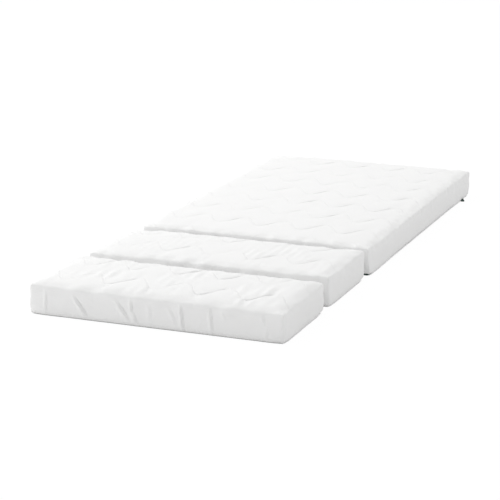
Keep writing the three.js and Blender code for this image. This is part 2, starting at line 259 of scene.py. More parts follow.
def makeStudio():
    world = bpy.data.worlds.new("studio")
    bpy.context.scene.world = world
    world.use_nodes = True
    tree = world.node_tree
    tree.nodes.clear()
    rays = addNode(tree, "ShaderNodeLightPath")
    seen = maths(tree, "MAXIMUM", rays.outputs["Is Camera Ray"], rays.outputs["Is Glossy Ray"])
    seen = maths(tree, "MAXIMUM", seen, rays.outputs["Is Transmission Ray"])
    where = addNode(tree, "ShaderNodeSeparateXYZ")
    tree.links.new(addNode(tree, "ShaderNodeTexCoord").outputs["Generated"], where.inputs[0])
    grey = maths(tree, "MULTIPLY_ADD", where.outputs[0], -studio["skyLeft"], studio["sky"])
    grey = maths(tree, "MULTIPLY_ADD", where.outputs[1], studio["skyRear"], grey)
    level = addNode(tree, "ShaderNodeCombineColor")
    for socket in level.inputs[:3]:
        feed(tree, socket, grey)
    light = addNode(tree, "ShaderNodeBackground")
    feed(tree, light.inputs["Color"], level.outputs[0])
    white = addNode(tree, "ShaderNodeBackground")
    white.inputs["Color"].default_value = (1, 1, 1, 1)
    both = addNode(tree, "ShaderNodeMixShader")
    feed(tree, both.inputs[0], seen)
    tree.links.new(light.outputs[0], both.inputs[1])
    tree.links.new(white.outputs[0], both.inputs[2])
    tree.links.new(both.outputs[0], addNode(tree, "ShaderNodeOutputWorld").inputs[0])

    unselect()
    bpy.ops.mesh.primitive_plane_add(size=studio["floorSize"], location=(0, 0, 0))
    floor = bpy.context.object
    floor.name = "floor"
    pale = bpy.data.materials.new("palePaperFloor")
    pale.use_nodes = True
    tree = pale.node_tree
    tree.nodes.clear()
    rays = addNode(tree, "ShaderNodeLightPath")
    paper = addNode(tree, "ShaderNodeBsdfDiffuse")
    paper.inputs["Color"].default_value = (studio["floorGrey"],) * 3 + (1,)
    glow = addNode(tree, "ShaderNodeEmission")
    seen = maths(tree, "MULTIPLY", rays.outputs["Is Camera Ray"], 1 - studio["floorShare"])
    both = addNode(tree, "ShaderNodeMixShader")
    feed(tree, both.inputs[0], seen)
    tree.links.new(paper.outputs[0], both.inputs[1])
    tree.links.new(glow.outputs[0], both.inputs[2])
    tree.links.new(both.outputs[0], addNode(tree, "ShaderNodeOutputMaterial").inputs[0])
    # painted shadow: the glow darkens only in the narrow gap under a hem, where the floor is closed in
    free = addNode(tree, "ShaderNodeAmbientOcclusion", samples=8)
    free.inputs["Distance"].default_value = studio["hemShadowReach"]
    feed(tree, glow.inputs["Strength"], ramp(tree, free.outputs["AO"], *studio["hemShadow"]))
    floor.data.materials.append(pale)

    for name, start in (("overheadSoftbox", "lamp"), ("lowFillPanel", "fill")):
        lamp = bpy.data.lights.new(name, "AREA")
        lamp.shape = "SQUARE"
        lamp.size = studio[start + "Size"]
        lamp.energy = studio[start + "Power"]
        lit = bpy.data.objects.new(name, lamp)
        bpy.context.scene.collection.objects.link(lit)
        place = Vector(studio[start + "Place"])
        lit.location = place
        lit.rotation_euler = (Vector(studio["aim"]) - place).to_track_quat("-Z", "Y").to_euler()


makeStudio()
bpy.context.scene.view_settings.view_transform = "Standard"
print("studio ready")

# Finishes

tints = {
    "cover": ((0.900, 0.900, 0.898, 1), (0.925, 0.925, 0.920, 1)),
    "coverYarn": (0.96, 0.96, 0.955, 1),
    # painted shade along the grooves of the sewn rows
    "coverPressed": (0.80, 0.80, 0.80, 1),
    "coverThread": (0.95, 0.95, 0.95, 1),
    "wadding": ((0.82, 0.82, 0.80, 1), (0.95, 0.95, 0.93, 1)),
    "lining": ((0.74, 0.75, 0.73, 1), (0.83, 0.84, 0.82, 1)),
    "foam": ((0.86, 0.80, 0.62, 1), (0.90, 0.85, 0.69, 1)),
    # painted shade inside the foam's open pores
    "foamPoreShade": (0.66, 0.6, 0.44, 1),
    "base": ((0.78, 0.78, 0.77, 1), (0.86, 0.86, 0.85, 1)),
    "tape": ((0.018, 0.062, 0.045, 1), (0.045, 0.120, 0.090, 1)),
    "coil": ((0.014, 0.050, 0.037, 1), (0.028, 0.078, 0.058, 1)),
    "enamel": ((0.012, 0.038, 0.028, 1), (0.020, 0.055, 0.041, 1)),
    "enamelWorn": (0.16, 0.20, 0.18, 1),
}
stitchLength = 0.0042  # in metres, like every length that a finish reads

def newGroup(name, inputs, outputs):
    group = bpy.data.node_groups.new(name, "ShaderNodeTree")
    for title, kind, start in inputs:
        socket = group.interface.new_socket(title, in_out="INPUT", socket_type=kind)
        if start is not None:
            socket.default_value = start
    for title, kind in outputs:
        group.interface.new_socket(title, in_out="OUTPUT", socket_type=kind)
    return group, addNode(group, "NodeGroupInput"), addNode(group, "NodeGroupOutput")


def useGroup(tree, group, **values):
    made = addNode(tree, "ShaderNodeGroup", node_tree=group)
    for title, value in values.items():
        feed(tree, made.inputs[title], value)
    return made


# Plain weave: yarns that pass over and under, from a place on the cloth in metres
def makeWeaveGroup():
    group, start, end = newGroup(
        "plainWeave",
        [("Place", "NodeSocketVector", None), ("Yarns", "NodeSocketFloat", 900.0)],
        [("Height", "NodeSocketFloat"), ("Shade", "NodeSocketFloat")],
    )
    where = addNode(group, "ShaderNodeSeparateXYZ")
    feed(group, where.inputs[0], start.outputs["Place"])
    turn = maths(group, "MULTIPLY", start.outputs["Yarns"], math.pi)
    across = maths(group, "SINE", maths(group, "MULTIPLY", where.outputs[0], turn))
    along = maths(group, "SINE", maths(group, "MULTIPLY", where.outputs[1], turn))
    over = maths(group, "MULTIPLY_ADD", maths(group, "MULTIPLY", across, along), 0.5, 0.5)
    slub = noiseAt(group, start.outputs["Place"], 420, 3, 0.6)
    height = maths(group, "MULTIPLY_ADD", slub, 0.4, maths(group, "MULTIPLY", over, 0.6))
    feed(group, end.inputs["Height"], height)
    feed(group, end.inputs["Shade"], ramp(group, height, 0.15, 0.85))
    return group


# Sewn row: thread dashes, the small puckers beside them and painted shade along the row's groove, from the
# distance to the row and the way along it
def makeStitchGroup():
    group, start, end = newGroup(
        "sewnRow",
        [
            ("Distance", "NodeSocketFloat", 1.0),
            ("Along", "NodeSocketFloat", 0.0),
            ("StitchLength", "NodeSocketFloat", stitchLength),
        ],
        [("Thread", "NodeSocketFloat"), ("Height", "NodeSocketFloat"), ("Shade", "NodeSocketFloat")],
    )
    away = maths(group, "ABSOLUTE", start.outputs["Distance"])
    stitches = maths(group, "DIVIDE", start.outputs["Along"], start.outputs["StitchLength"])
    step = maths(group, "FRACT", stitches)
    dash = maths(group, "MULTIPLY", ramp(group, step, 0.04, 0.16), ramp(group, step, 0.84, 0.96, 1.0, 0.0))
    line = ramp(group, away, 0.0003, 0.0007, 1.0, 0.0)
    thread = maths(group, "MULTIPLY", line, dash)
    both = addNode(group, "ShaderNodeCombineXYZ")
    feed(group, both.inputs[0], start.outputs["Along"])
    feed(group, both.inputs[1], maths(group, "MULTIPLY", start.outputs["Distance"], 0.35))
    wave = noiseAt(group, both.outputs[0], 130, 2, 0.6)
    near = ramp(group, away, 0.001, 0.012, 1.0, 0.0)
    pucker = maths(group, "MULTIPLY", maths(group, "MULTIPLY", wave, near), ramp(group, away, 0.0, 0.003))
    height = maths(group, "MULTIPLY_ADD", pucker, 1.5, maths(group, "MULTIPLY", thread, 0.5))
    feed(group, end.inputs["Thread"], thread)
    feed(group, end.inputs["Height"], height)
    # Shade is painted shade: 1 on the row, fading out 4 mm from it, where the groove lies
    feed(group, end.inputs["Shade"], ramp(group, away, 0.0, 0.004, 1.0, 0.0))
    return group


weaveGroup = makeWeaveGroup()
stitchGroup = makeStitchGroup()


def newMaterial(name, roughness, specular):
    made = bpy.data.materials.new(name)
    made.use_nodes = True
    tree = made.node_tree
    tree.nodes.clear()
    shader = addNode(tree, "ShaderNodeBsdfPrincipled")
    shader.inputs["Roughness"].default_value = roughness
    shader.inputs["Specular IOR Level"].default_value = specular
    tree.links.new(shader.outputs[0], addNode(tree, "ShaderNodeOutputMaterial").inputs[0])
    return made, tree, shader


def bump(tree, height, depth, strength, onto=None):
    made = addNode(tree, "ShaderNodeBump")
    feed(tree, made.inputs["Height"], height)
    made.inputs["Distance"].default_value = depth
    made.inputs["Strength"].default_value = strength
    if onto is not None:
        feed(tree, made.inputs["Normal"], onto)
    return made.outputs[0]


# The place inside a piece, for a pattern that runs through it
def solidPlace(tree):
    return addNode(tree, "ShaderNodeTexCoord").outputs["Object"]


def makeQuiltedCloth():
    made, tree, shader = newMaterial("quiltedCottonCover", 0.92, 0.25)
    place = addNode(tree, "ShaderNodeUVMap", uv_map="cloth").outputs[0]
    solid = solidPlace(tree)
    away, along, shown = [
        addNode(tree, "ShaderNodeAttribute", attribute_name=title).outputs["Fac"]
        for title in ("sewn", "along", "shown")
    ]
    weave = useGroup(tree, weaveGroup, Place=place, Yarns=1100.0)
    sewn = useGroup(tree, stitchGroup, Distance=away, Along=along)
    thread = maths(tree, "MULTIPLY", sewn.outputs["Thread"], shown)
    # painted shade: the cloth is darker within 4 mm of a sewn row, where its groove lies
    grooveShade = maths(tree, "MULTIPLY", sewn.outputs["Shade"], shown)
    cloudy = noiseAt(tree, solid, 9, 3, 0.55)
    tint = mixColour(tree, cloudy, *tints["cover"])
    for mask, share, title in (
        (weave.outputs["Shade"], 0.10, "coverYarn"),
        (grooveShade, 0.05, "coverPressed"),
        (thread, 0.6, "coverThread"),
    ):
        tint = mixColour(tree, maths(tree, "MULTIPLY", mask, share), tint, tints[title])
    feed(tree, shader.inputs["Base Color"], tint)
    crush = noiseAt(tree, solid, 55, 4, 0.55)
    rough = maths(tree, "MULTIPLY_ADD", weave.outputs["Height"], 0.1, 0.85)
    feed(tree, shader.inputs["Roughness"], rough)
    surface = bump(tree, crush, 0.0012, 0.35)
    surface = bump(tree, maths(tree, "MULTIPLY", sewn.outputs["Height"], shown), 0.0009, 0.8, surface)
    surface = bump(tree, weave.outputs["Height"], 0.0003, 0.5, surface)
    feed(tree, shader.inputs["Normal"], surface)
    shader.inputs["Sheen Weight"].default_value = 0.08
    shader.inputs["Sheen Roughness"].default_value = 0.6
    return made


# A place on cloth that runs round a section's sides, where a piece has no map of its own
def sideways(tree):
    where = addNode(tree, "ShaderNodeSeparateXYZ")
    tree.links.new(solidPlace(tree), where.inputs[0])
    both = addNode(tree, "ShaderNodeCombineXYZ")
    feed(tree, both.inputs[0], maths(tree, "ADD", where.outputs[0], where.outputs[1]))
    feed(tree, both.inputs[1], where.outputs[2])
    return both.outputs[0]


def makeClothOf(name, dark, light, yarns, flat):
    roughness = 0.95
    made, tree, shader = newMaterial(name, roughness, 0.2)
    solid = solidPlace(tree)
    weave = useGroup(tree, weaveGroup, Place=solid if flat else sideways(tree), Yarns=yarns)
    cloudy = noiseAt(tree, solid, 14, 3, 0.6)
    tint = mixColour(tree, weave.outputs["Shade"], dark, light)
    tint = mixColour(tree, maths(tree, "MULTIPLY", cloudy, 0.2), tint, dark)
    feed(tree, shader.inputs["Base Color"], tint)
    rough = ramp(tree, weave.outputs["Height"], 0, 1, roughness - 0.12, roughness)
    feed(tree, shader.inputs["Roughness"], rough)
    surface = bump(tree, cloudy, 0.001, 0.3)
    feed(tree, shader.inputs["Normal"], bump(tree, weave.outputs["Height"], 0.0004, 0.7, surface))
    return made


def makeFoam():
    made, tree, shader = newMaterial("openCellFoam", 1.0, 0.1)
    solid = solidPlace(tree)
    cells = addNode(tree, "ShaderNodeTexVoronoi", feature="F1")
    feed(tree, cells.inputs["Vector"], solid)
    cells.inputs["Scale"].default_value = 700
    poreShade = ramp(tree, cells.outputs["Distance"], 0.1, 0.6, 1.0, 0.0)
    cloudy = noiseAt(tree, solid, 8, 3, 0.5)
    tint = mixColour(tree, cloudy, *tints["foam"])
    # painted shade: the foam is darker in the hollows of its open cells
    tint = mixColour(tree, maths(tree, "MULTIPLY", poreShade, 0.3), tint, tints["foamPoreShade"])
    feed(tree, shader.inputs["Base Color"], tint)
    feed(tree, shader.inputs["Normal"], bump(tree, cells.outputs["Distance"], 0.0008, 0.8))
    return made


def makeWadding():
    made, tree, shader = newMaterial("fibreWadding", 1.0, 0.1)
    solid = solidPlace(tree)
    drawn = addNode(tree, "ShaderNodeMapping")
    feed(tree, drawn.inputs["Vector"], solid)
    drawn.inputs["Scale"].default_value = (1, 3, 2)
    fibres = noiseAt(tree, drawn.outputs[0], 260, 5, 0.7)
    clumps = noiseAt(tree, solid, 30, 3, 0.5)
    tint = mixColour(tree, fibres, *tints["wadding"])
    feed(tree, shader.inputs["Base Color"], tint)
    surface = bump(tree, clumps, 0.003, 0.5)
    feed(tree, shader.inputs["Normal"], bump(tree, fibres, 0.0008, 0.8, surface))
    return made


def makeGreenMetal():
    made, tree, shader = newMaterial("greenEnamel", 0.6, 0.25)
    solid = solidPlace(tree)
    worn = ramp(tree, noiseAt(tree, solid, 900, 4, 0.65), 0.62, 0.74)
    cloudy = noiseAt(tree, solid, 160, 2, 0.5)
    tint = mixColour(tree, cloudy, *tints["enamel"])
    tint = mixColour(tree, maths(tree, "MULTIPLY", worn, 0.25), tint, tints["enamelWorn"])
    feed(tree, shader.inputs["Base Color"], tint)
    feed(tree, shader.inputs["Roughness"], ramp(tree, cloudy, 0.2, 0.8, 0.52, 0.68))
    feed(tree, shader.inputs["Normal"], bump(tree, cloudy, 0.0002, 0.4))
    return made


def makeGreenCoil():
    made, tree, shader = newMaterial("greenNylonCoil", 0.5, 0.4)
    solid = solidPlace(tree)
    cloudy = noiseAt(tree, solid, 300, 3, 0.6)
    feed(tree, shader.inputs["Base Color"], mixColour(tree, cloudy, *tints["coil"]))
    feed(tree, shader.inputs["Roughness"], ramp(tree, cloudy, 0.2, 0.8, 0.42, 0.6))
    feed(tree, shader.inputs["Normal"], bump(tree, cloudy, 0.0001, 0.5))
    return made


finishes = {
    "quilted_cloth": makeQuiltedCloth(),
    "wadding": makeWadding(),
    "lining_cloth": makeClothOf("nonWovenLining", *tints["lining"], 1600.0, True),
    "foam": makeFoam(),
    "base_cloth": makeClothOf("plainBaseCloth", *tints["base"], 1300.0, True),
    "zip_tape": makeClothOf("greenZipTape", *tints["tape"], 1500.0, False),
    "zip_chain": makeGreenCoil(),
    "zip_metal": makeGreenMetal(),
}
print("finishes ready:", len(finishes))


# What every finished piece gets: its finish, its body, and the CAD node it stands for
def dress(piece, node, slot, body):
    piece.data.materials.clear()
    piece.data.materials.append(finishes[slot])
    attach(piece, body)
    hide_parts(node)


# Quilted covers

quilting = {
    "pitch": 143,
    "height": 86,  # valley to peak of a sewn wave, along the bed
    "valley": -31,
    "rowSpacing": 170,
    "rearClear": 24,  # how far the last row's peaks stay from the rear
    "puff": 1.2,
    "puffPower": 0.6,
    "growth": 0.012,
    "pressure": 4.0,
    "frames": 20,
    "capOut": 2.2,
    "capIn": 1.6,
    "capAlong": 1.5,
    "pinned": 0.22,  # how tight a row has to be for its points to be held
    "grooveDepth": 3.0,
    "grooveWidth": 2.8,
    "frontShare": 0.12,  # how deep the rows stay where they run down the front and rear
    "sideShare": 0.08,
    "flush": 1.2,  # how far a side that faces a gap may stand out
}
ringDrops = [5, 10, 15, 20, 26, 33, 40, 47, 54, 61, 68, 75, 81, 86, 90, 93.7]


def waveShareAt(x):
    return (1 - np.cos(2 * np.pi * (x - quilting["valley"]) / quilting["pitch"])) / 2


def waveSlopeAt(x):
    turn = 2 * np.pi / quilting["pitch"]
    return turn / 2 * np.sin(turn * (x - quilting["valley"]))


# Sewn rows of a section: where their valleys lie behind its front edge, and how far they rise
def sewnRows(section):
    rows = []
    place = section["firstRow"] - 2 * quilting["rowSpacing"]
    while place < section["length"] + quilting["rowSpacing"]:
        rise = quilting["height"]
        if 0 < place < section["length"]:
            rise = min(rise, section["length"] - quilting["rearClear"] - place)
        if rise > quilting["height"] / 2:
            rows.append((place, rise))
        place += quilting["rowSpacing"]
    return rows


# Distance to the nearest sewn row, and how far along the way from the row before to the row behind
def sewnPlace(section, across, behind):
    rows = sewnRows(section)
    share = waveShareAt(across)
    lines = np.array([place + rise * share for place, rise in rows])
    gaps = behind[None, :] - lines
    nearest = np.abs(gaps).argmin(0)
    gap = np.take_along_axis(gaps, nearest[None, :], 0)[0]
    rise = np.array([row[1] for row in rows])[nearest]
    slope = rise * waveSlopeAt(across)
    # the sign turns over from row to row, so that it doesn't jump half way between two rows
    distance = gap / np.sqrt(1 + slope ** 2) * (1 - 2 * (nearest % 2))
    before = (lines <= behind[None, :]).sum(0).clip(1, len(rows) - 1)
    low = np.take_along_axis(lines, before[None, :] - 1, 0)[0]
    high = np.take_along_axis(lines, before[None, :], 0)[0]
    between = np.clip((behind - low) / np.maximum(high - low, 1), 0, 1)
    return distance, between


# Columns of the grid across the bed, with one on every valley and peak, and its rows, with one on every
# sewn row
def gridLines(section):
    half, rim = bed["width"] / 2, 4
    step = quilting["pitch"] / section["columnsPerWave"]
    columns = [-half]
    place = quilting["valley"] - step * math.ceil((half + quilting["valley"]) / step)
    while place < half - 0.35 * step - rim:
        if place > -half + 0.35 * step + rim:
            columns.append(place)
        place += step
    columns.append(half)
    columns = columns[:1] + [rim - half] + columns[1:-1] + [half - rim] + columns[-1:]
    marks = [(0, 0), (rim, 0)]
    for place, rise in sewnRows(section):
        if 0 < place < section["length"]:
            marks.append((place, rise))
    marks += [(section["length"] - rim, 0), (section["length"], 0)]
    rows, rises = [0.0], [0.0]
    for (low, lowRise), (high, highRise) in zip(marks, marks[1:]):
        longest = max(high - low, high + highRise - low - lowRise)
        count = max(1, round(longest / section["rowStep"] * (0.85 if lowRise and highRise else 0.8)))
        for number in range(1, count + 1):
            rows.append(low + (high - low) * number / count)
            rises.append(lowRise + (highRise - lowRise) * number / count)
    return np.array(columns), np.array(rows), np.array(rises)


# Extruding leaves points and faces in an order that differs from run to run, and the cloth solver's result
# with it, so they are put in the order of their places
def putInOrder(mesh, order):
    placeOf = np.empty(len(order), int)
    placeOf[order] = np.arange(len(order))
    points = pointsOf(mesh)[order]
    faces = sorted([int(placeOf[number]) for number in polygon.vertices] for polygon in mesh.polygons)
    mesh.clear_geometry()
    mesh.from_pydata(points.tolist(), [], faces)
    mesh.update()


# A sheet of quads with a skirt of rings, and the column, row and ring of each of its points, which are
# placed later
def gridWithSkirt(name, columns, rows, rings):
    drop = 0.01
    unselect()
    bpy.ops.mesh.primitive_grid_add(x_subdivisions=len(columns) - 1, y_subdivisions=len(rows) - 1, size=2)
    piece = bpy.context.object
    piece.name = name
    bpy.ops.object.mode_set(mode="EDIT")
    selectRim()
    for ring in range(rings):
        bpy.ops.mesh.extrude_region_move(TRANSFORM_OT_translate={"value": (0, 0, -drop)})
    bpy.ops.object.mode_set(mode="OBJECT")
    raw = pointsOf(piece.data)
    column = np.rint((raw[:, 0] + 1) / 2 * (len(columns) - 1)).astype(int)
    row = np.rint((raw[:, 1] + 1) / 2 * (len(rows) - 1)).astype(int)
    ring = np.rint(raw[:, 2] / -drop).astype(int)
    order = np.lexsort((ring, row, column))
    putInOrder(piece.data, order)
    return piece, column[order], row[order], ring[order]


# 1 where the cover's side stops above the zip, 0 where it runs down to its hem
def openSlot(section, box):
    fromSide = bed["width"] / 2 - box[:, 0]
    zipSide = section["length"] - box[:, 1] if section["zipRear"] else box[:, 1]
    begin, end = slotFade
    alongZip = (zipSide < 1) * (1 - smoothStep(zipAcross + begin, zipAcross + end, fromSide))
    roundCorner = (fromSide < 1) * (1 - smoothStep(section["wrap"] + begin, section["wrap"] + end, zipSide))
    return np.maximum(alongZip, roundCorner)


# How far points lie from the front, rear, left and right of a section, seen from above
def planGaps(section, box):
    half = bed["width"] / 2
    return np.stack([box[:, 1], section["length"] - box[:, 1], box[:, 0] + half, half - box[:, 0]], 1)


# The value that the nearest of the four sides has
def bySide(section, box, values):
    return np.array(values, float)[planGaps(section, box).argmin(1)]


def cornerDistance(section, box):
    gaps = planGaps(section, box)
    return np.hypot(np.minimum(gaps[:, 0], gaps[:, 1]), np.minimum(gaps[:, 2], gaps[:, 3]))


# The foot of a cover, in mm: how far in its side lies at some heights, and how it tucks under at the corners
foot = {
    "heights": [2.3, 5, 8, 12, 20, 40],
    "insets": [3.0, 1.8, 1.1, 0.7, 0.3, 0],
    "roundFrom": (90, 280),  # where the foot turns round, from a corner
    "tuck": 5.0,
    "tuckOverZip": 1.2,
    "tuckReach": 24,
    "tuckHeight": 34,
}


# How far the cover's outside lies in from its widest, low on the sides where it rounds off towards the floor
def footInset(section, box, height):
    corner = cornerDistance(section, box)
    plain = np.interp(height, foot["heights"], foot["insets"])
    radius = np.maximum(bySide(section, box, section["feet"]) * smoothStep(*foot["roundFrom"], corner), 0.01)
    below = np.clip(radius - height, 0, radius)
    rounded = radius - np.sqrt(radius ** 2 - below ** 2)
    tuck = np.where(openSlot(section, box) > 0.5, foot["tuckOverZip"], foot["tuck"])
    tuck = tuck * np.exp(-((corner / foot["tuckReach"]) ** 2))
    tuck = tuck * np.clip((foot["tuckHeight"] - height) / (foot["tuckHeight"] - 2), 0, 1) ** 1.4
    return np.maximum(plain, rounded) + tuck


# How high the lip over a zip lies
def lipAt(section, box):
    atCorner = (1 - smoothStep(*bed["cornerLipReach"], cornerDistance(section, box))) * section["zipRear"]
    return section["lipHeight"] + (bed["cornerLip"] - section["lipHeight"]) * atCorner


# From the sharp box that the grid lies on to the soft form of the cover
def softForm(section, box):
    halfX, length = bed["width"] / 2, section["length"]
    halfY = length / 2
    deep = bed["edgeDepth"]
    flat = (box - np.array([0, halfY, bed["edgeHeight"]])) / np.array([1, 1, deep])
    corner = cornerDistance(section, box)
    wide = bySide(section, box, section["edges"])
    radius = bed["pointRadius"] + (wide - bed["pointRadius"]) * smoothStep(4, 110, corner)
    inner = np.stack([
        np.clip(flat[:, 0], radius - halfX, halfX - radius),
        np.clip(flat[:, 1], radius - halfY, halfY - radius),
        np.minimum(flat[:, 2], -radius),
    ], 1)
    away = unit(flat - inner)
    placed = inner + radius[:, None] * away
    placed[:, 2] = placed[:, 2] * deep + bed["edgeHeight"]
    outward = unit(away * np.array([1, 1, 0]))
    height = placed[:, 2]
    side = 1 - smoothStep(0.5, 0.98, away[:, 2])
    # the sides draw in between the corners, and tuck under at the foot and most of all at the corners
    onFront = np.abs(away[:, 1]) > np.abs(away[:, 0])
    share = np.where(onFront, flat[:, 0] / halfX, flat[:, 1] / halfY).clip(-1, 1)
    draw = bed["sideDrawIn"] * np.cos(np.pi / 2 * share)
    draw = draw * np.interp(height, [2, 12, 46, 80, 96], [0, 0.1, 1, 0.8, 0])
    placed = placed - outward * (side * (draw + footInset(section, box, height)))[:, None]
    patchX, patchY = halfX - 12, halfY - 12
    crown = (1 - np.clip(np.abs(flat[:, 0]) / patchX, 0, 1) ** bed["crownPower"])
    crown = crown * (1 - np.clip(np.abs(flat[:, 1]) / patchY, 0, 1) ** bed["crownPower"])
    placed[:, 2] += bed["crownRise"] * crown * (away[:, 2] > 0.5)
    gaps = planGaps(section, placed + np.array([0, halfY, 0]))
    rolls = [
        depth * np.clip(1 - gap / reach, 0, 1) ** 2
        for (depth, reach), gap in zip(section["rolls"], gaps.T)
    ]
    rolled = (np.array(rolls) ** 3).sum(0) ** (1 / 3)
    placed[:, 2] -= rolled * np.interp(placed[:, 2], [40, 85], [0, 1])
    nudge = np.array(section["corners"], float)[2 * (flat[:, 1] > 0) + (flat[:, 0] > 0)]
    nearCorner = np.exp(-((corner / bed["cornerReach"]) ** 2))
    nudge *= (nearCorner * np.interp(placed[:, 2], [8, 62], [0, 1]))[:, None]
    placed[:, [0, 2]] += nudge
    # the rear is drawn in at the foot of its right corner
    tuckAcross, tuckAlong = bed["rearTuckReach"]
    near = np.exp(-(((halfX - flat[:, 0]) / tuckAcross) ** 2)) * np.clip(1 - gaps[:, 1] / tuckAlong, 0, 1)
    placed[:, 1] -= section["rearTuck"] * near * (1 - smoothStep(20, 34, height))
    lifted = np.where(height < 30, (30 - height) / (30 - bed["hemHeight"]), 0) * openSlot(section, box)
    placed[:, 2] += lifted * (lipAt(section, box) - bed["hemHeight"])
    placed[:, 1] += halfY
    return placed


# Which side of the box a point lies on: 0 top, 1 front, 2 rear, 3 left, 4 right
def sideOf(section, box):
    down = bed["edgeHeight"] - box[:, 2]
    return np.column_stack([down, planGaps(section, box)]).argmin(1)


# Place on the cloth laid flat, across and behind the front edge, for points on a given side
def layFlat(section, box, side):
    down = bed["edgeHeight"] - box[:, 2]
    across = box[:, 0] + np.where(side == 4, down, 0) - np.where(side == 3, down, 0)
    behind = box[:, 1] - np.where(side == 1, down, 0) + np.where(side == 2, down, 0)
    return across, behind


def ripple(across, behind, seed, size, count=9):
    maker = np.random.RandomState(seed)
    total = np.zeros_like(across)
    for number in range(count):
        turn = maker.uniform(0, 2 * np.pi)
        length = size * maker.uniform(0.6, 1.7)
        way = across * np.cos(turn) + behind * np.sin(turn)
        total += np.sin(2 * np.pi * way / length + maker.uniform(0, 6.3))
    return total / math.sqrt(count)


# Creases of the end section's front as they fall: from, to, half width and depth, across and up
frontCreases = [
    ((-345, 80), (-343, 8), 5, 1.6),
    ((-252, 72), (-212, 18), 7, 4.0),
    ((-116, 74), (-78, 20), 7, 3.2),
    ((-71, 84), (-69, 46), 5, 3.0),
    ((-66, 46), (-50, 8), 6, 2.6),
    ((-14, 80), (-8, 20), 8, 1.2),
    ((46, 78), (72, 20), 8, 1.4),
    ((84, 82), (92, 10), 5, 3.4),
    ((174, 84), (182, 10), 5, 2.6),
    ((214, 84), (222, 56), 6, 1.4),
    ((336, 84), (342, 52), 6, 1.6),
    ((352, 44), (346, 12), 7, 1.4),
]


def creasesOf(name, section, side):
    if name == "end" and side == 1:
        return frontCreases
    if side == 4:
        return []
    maker = np.random.RandomState(section["seed"] * 7 + side)
    creases = []
    reach = bed["width"] if side in (1, 2) else section["length"]
    for number in range(round(reach / 90)):
        start = maker.uniform(30, reach - 30) - (reach / 2 if side in (1, 2) else 0)
        lean = maker.uniform(-20, 34)
        creases.append(((start, maker.uniform(60, 84)), (start + lean, maker.uniform(8, 40)),
                        maker.uniform(5, 8), maker.uniform(0.8, 2.4)))
    return creases


# Height of a crease at a place on a side: a groove with a soft ridge on its left
def creaseAt(along, up, crease):
    (fromAlong, fromUp), (toAlong, toUp), width, depth = crease
    way = np.array([toAlong - fromAlong, toUp - fromUp], float)
    length = np.hypot(*way)
    way /= length
    goneAlong = (along - fromAlong) * way[0] + (up - fromUp) * way[1]
    across = (along - fromAlong) * -way[1] + (up - fromUp) * way[0]
    fade = smoothStep(-16, 22, goneAlong) * smoothStep(-16, 22, length - goneAlong)
    groove = np.exp(-(((across - 0.45 * width) / (0.42 * width)) ** 2))
    ridge = np.exp(-(((across + 0.6 * width) / (1.0 * width)) ** 2))
    return 1.3 * fade * depth * (1.1 * ridge - 0.8 * groove)


# How tight the sewn rows are: more in some places than in others, less towards the left,
# and most of all from each valley up the rising leg
tightness = {
    "patch": 170,
    "across": ([-400, -200, 0, 400], [0.2, 0.55, 0.95, 1.1]),
    "alongWave": ([0, 0.34, 0.46, 0.84, 0.93, 1], [1.2, 1.1, 0.3, 0.1, 1.0, 1.2]),
}


def biteAt(section, across, behind):
    wave = ripple(across, behind, section["seed"] + draws["bite"], tightness["patch"], 7)
    patchy = np.clip(0.5 + 0.5 * wave, 0.0, 1.25)
    sideways = np.interp(across, *tightness["across"])
    phase = np.mod((across - quilting["valley"]) / quilting["pitch"], 1)
    return patchy * sideways * np.interp(phase, *tightness["alongWave"])


def boxOf(mesh):
    flat = np.empty(len(mesh.vertices) * 3, np.float32)
    mesh.attributes["box"].data.foreach_get("vector", flat)
    return flat.reshape(-1, 3).astype(float)


def makeSkin(name):
    section = sections[name]
    columns, rows, rises = gridLines(section)
    piece, column, row, ring = gridWithSkirt(name + "Cover", columns, rows, len(ringDrops))
    across = columns[column]
    behind = rows[row] + rises[row] * waveShareAt(across)
    drop = np.array([0.0] + ringDrops)[ring]
    box = np.stack([across, behind, bed["edgeHeight"] - drop], 1)
    attribute = piece.data.attributes.new("box", "FLOAT_VECTOR", "POINT")
    attribute.data.foreach_set("vector", box.astype(np.float32).ravel())
    placed = softForm(section, box)
    side = sideOf(section, box)
    flatAcross, flatBehind = layFlat(section, box, side)
    distance, between = sewnPlace(section, flatAcross, flatBehind)
    edge = planGaps(section, box).min(1)
    puff = quilting["puff"] * np.sin(np.pi * between) ** quilting["puffPower"] * (side == 0)
    placed[:, 2] += puff * smoothStep(8, 40, edge)
    setPoints(piece.data, placed * mm + np.array([section["aside"], section["front"], 0]) * mm)
    onRow = (np.abs(distance) < 0.3) & (side == 0) & (edge > 14)
    tight = biteAt(section, flatAcross, flatBehind) > quilting["pinned"]
    markPoints(piece, "pins", (onRow & tight) | (ring >= len(ringDrops) - 1))
    return piece


# The cloth of a cover, as the solver knows it
coverCloth = {
    "quality": 5,
    "mass": 0.02,
    "tension_stiffness": 12,
    "compression_stiffness": 6,
    "shear_stiffness": 4,
    "bending_stiffness": 0.02,
    "air_damping": 2,
    "vertex_group_mass": "pins",
    "use_pressure": True,
    "uniform_pressure_force": quilting["pressure"],
    "shrink_min": -quilting["growth"],
}


